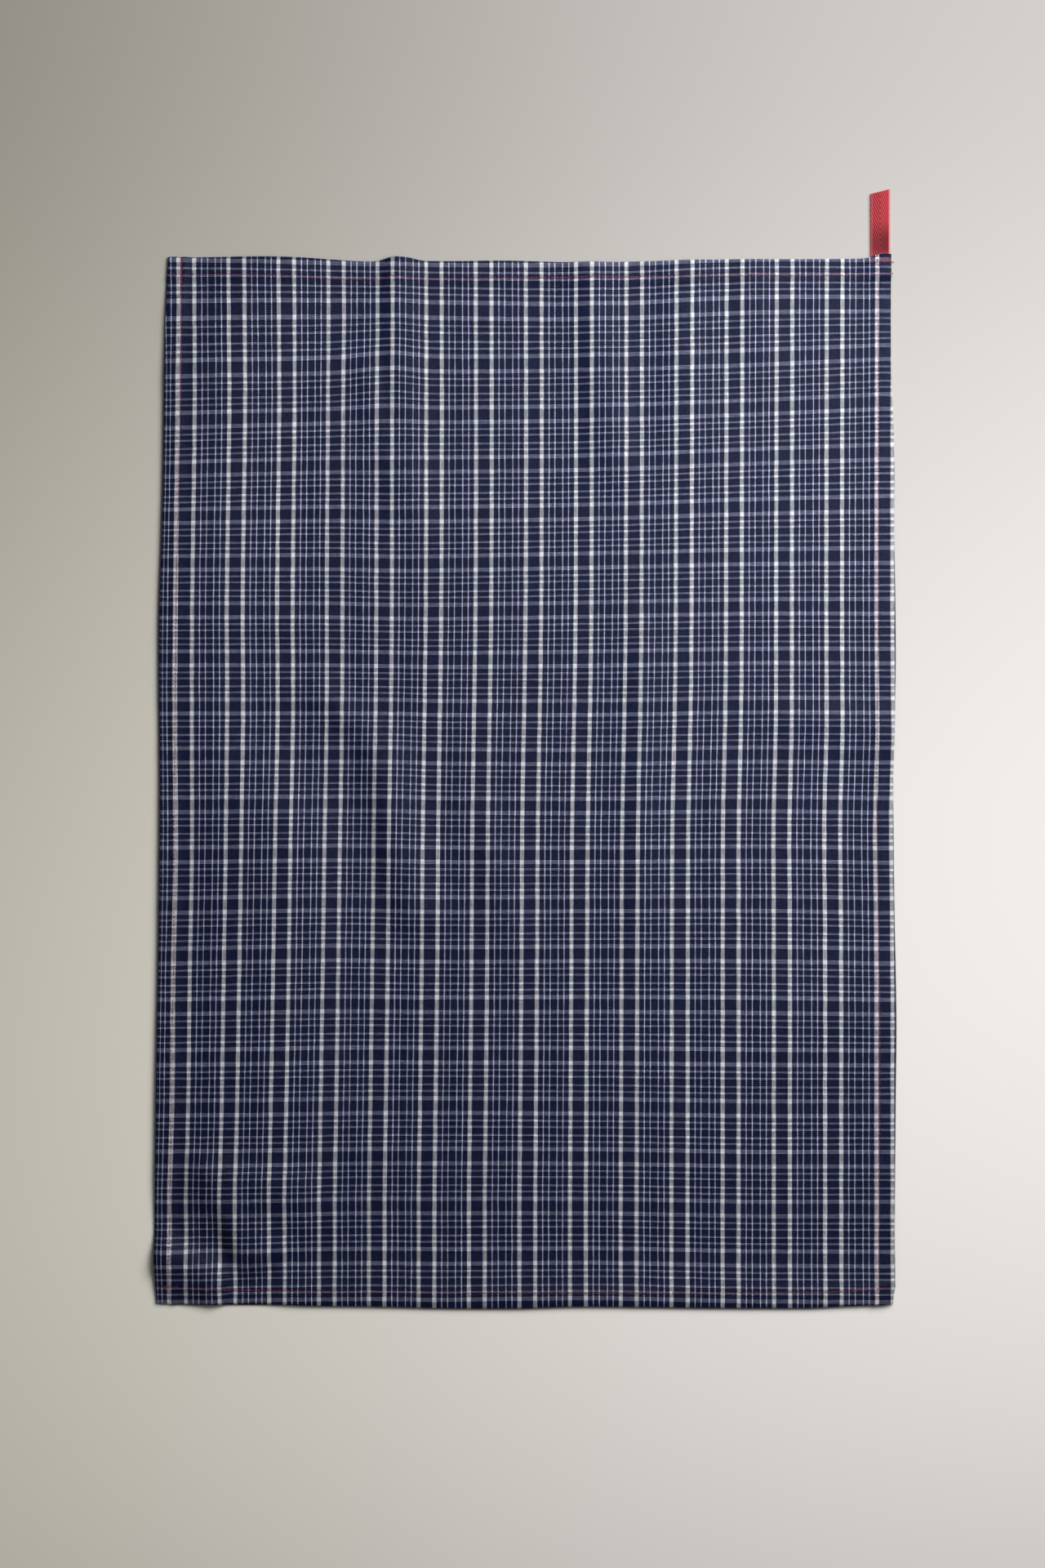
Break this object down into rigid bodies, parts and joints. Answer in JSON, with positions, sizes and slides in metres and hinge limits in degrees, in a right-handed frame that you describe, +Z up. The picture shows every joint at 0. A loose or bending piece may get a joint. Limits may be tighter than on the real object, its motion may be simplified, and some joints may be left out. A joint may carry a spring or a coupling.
{
  "type": "tea towel",
  "caption": "Checked cotton tea towel lying flat, hemmed all round, with a folded tape loop at one corner to hang it by.",
  "frame": {"origin": "middle of the lying towel's box, loop included, on the surface that it lies on", "axes": "+Z up from the surface, +Y along the towel's length towards the end with the loop, +X across its width towards the side with the loop"},
  "size_m": [0.4962, 0.7479, 0.0075],
  "materials": {
    "checked_cotton": "plain-woven cotton, navy and white check, matt",
    "red_tape": "herringbone cotton tape, red, matt"
  },
  "bodies": {
    "root": {"towel_cloth": "checked_cotton", "hanging_loop": "red_tape"}
  },
  "joints": []
}
